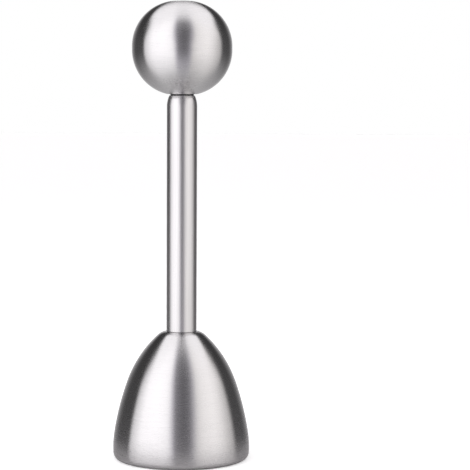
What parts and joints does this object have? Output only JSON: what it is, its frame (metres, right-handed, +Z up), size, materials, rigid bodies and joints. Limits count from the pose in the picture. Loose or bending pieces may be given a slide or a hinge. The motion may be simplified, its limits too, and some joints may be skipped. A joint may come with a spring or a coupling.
{
  "type": "egg topper",
  "caption": "Egg topper: pulling up a ball on a sprung rod and letting go drives a striker down a slim tube onto a steel bell with a cutting rim.",
  "frame": {"origin": "centre of the bell's rim, on the plane that it rests on", "axes": "+Z up along the axis of revolution, from the bell to the ball; seen from the picture's side, +X is to the right and +Y goes away"},
  "size_m": [0.041, 0.041, 0.1371],
  "materials": {
    "brushed_steel": "stainless steel, fine brush lines round the axis",
    "satin_tube_steel": "stainless steel tube, satin",
    "turned_steel": "turned stainless steel",
    "bright_steel": "bright stainless steel, smooth",
    "spring_steel": "drawn stainless spring wire",
    "nylon": "natural nylon",
    "black_rubber": "black rubber, matt"
  },
  "bodies": {
    "handle": {"bell": "brushed_steel", "bell_washer": "bright_steel", "bell_lock_washer": "spring_steel", "bell_screw": "bright_steel", "anvil_plug": "turned_steel", "handle_tube": "satin_tube_steel", "guide_bush": "nylon", "bumper_washer": "black_rubber", "upper_spring_washer": "bright_steel", "return_spring": "spring_steel"},
    "spring_follower": {"lower_spring_washer": "bright_steel"},
    "plunger": {"striker": "turned_steel", "pull_rod": "bright_steel", "ball_threaded_boss": "turned_steel", "ball_lower_shell": "brushed_steel", "ball_upper_shell": "brushed_steel"}
  },
  "joints": [
    {"name": "pull", "type": "slide", "parent": "handle", "child": "spring_follower", "axis": [0, 0, 1], "range_m": [0, 0.02], "stiffness_N_per_m": 572, "springref_m": -0.01, "deforming": ["return_spring"]},
    {"name": "ball_spin", "type": "hinge", "parent": "spring_follower", "child": "plunger", "pos_m": [0, 0, 0.1231], "axis": [0, 0, 1], "continuous": true}
  ]
}
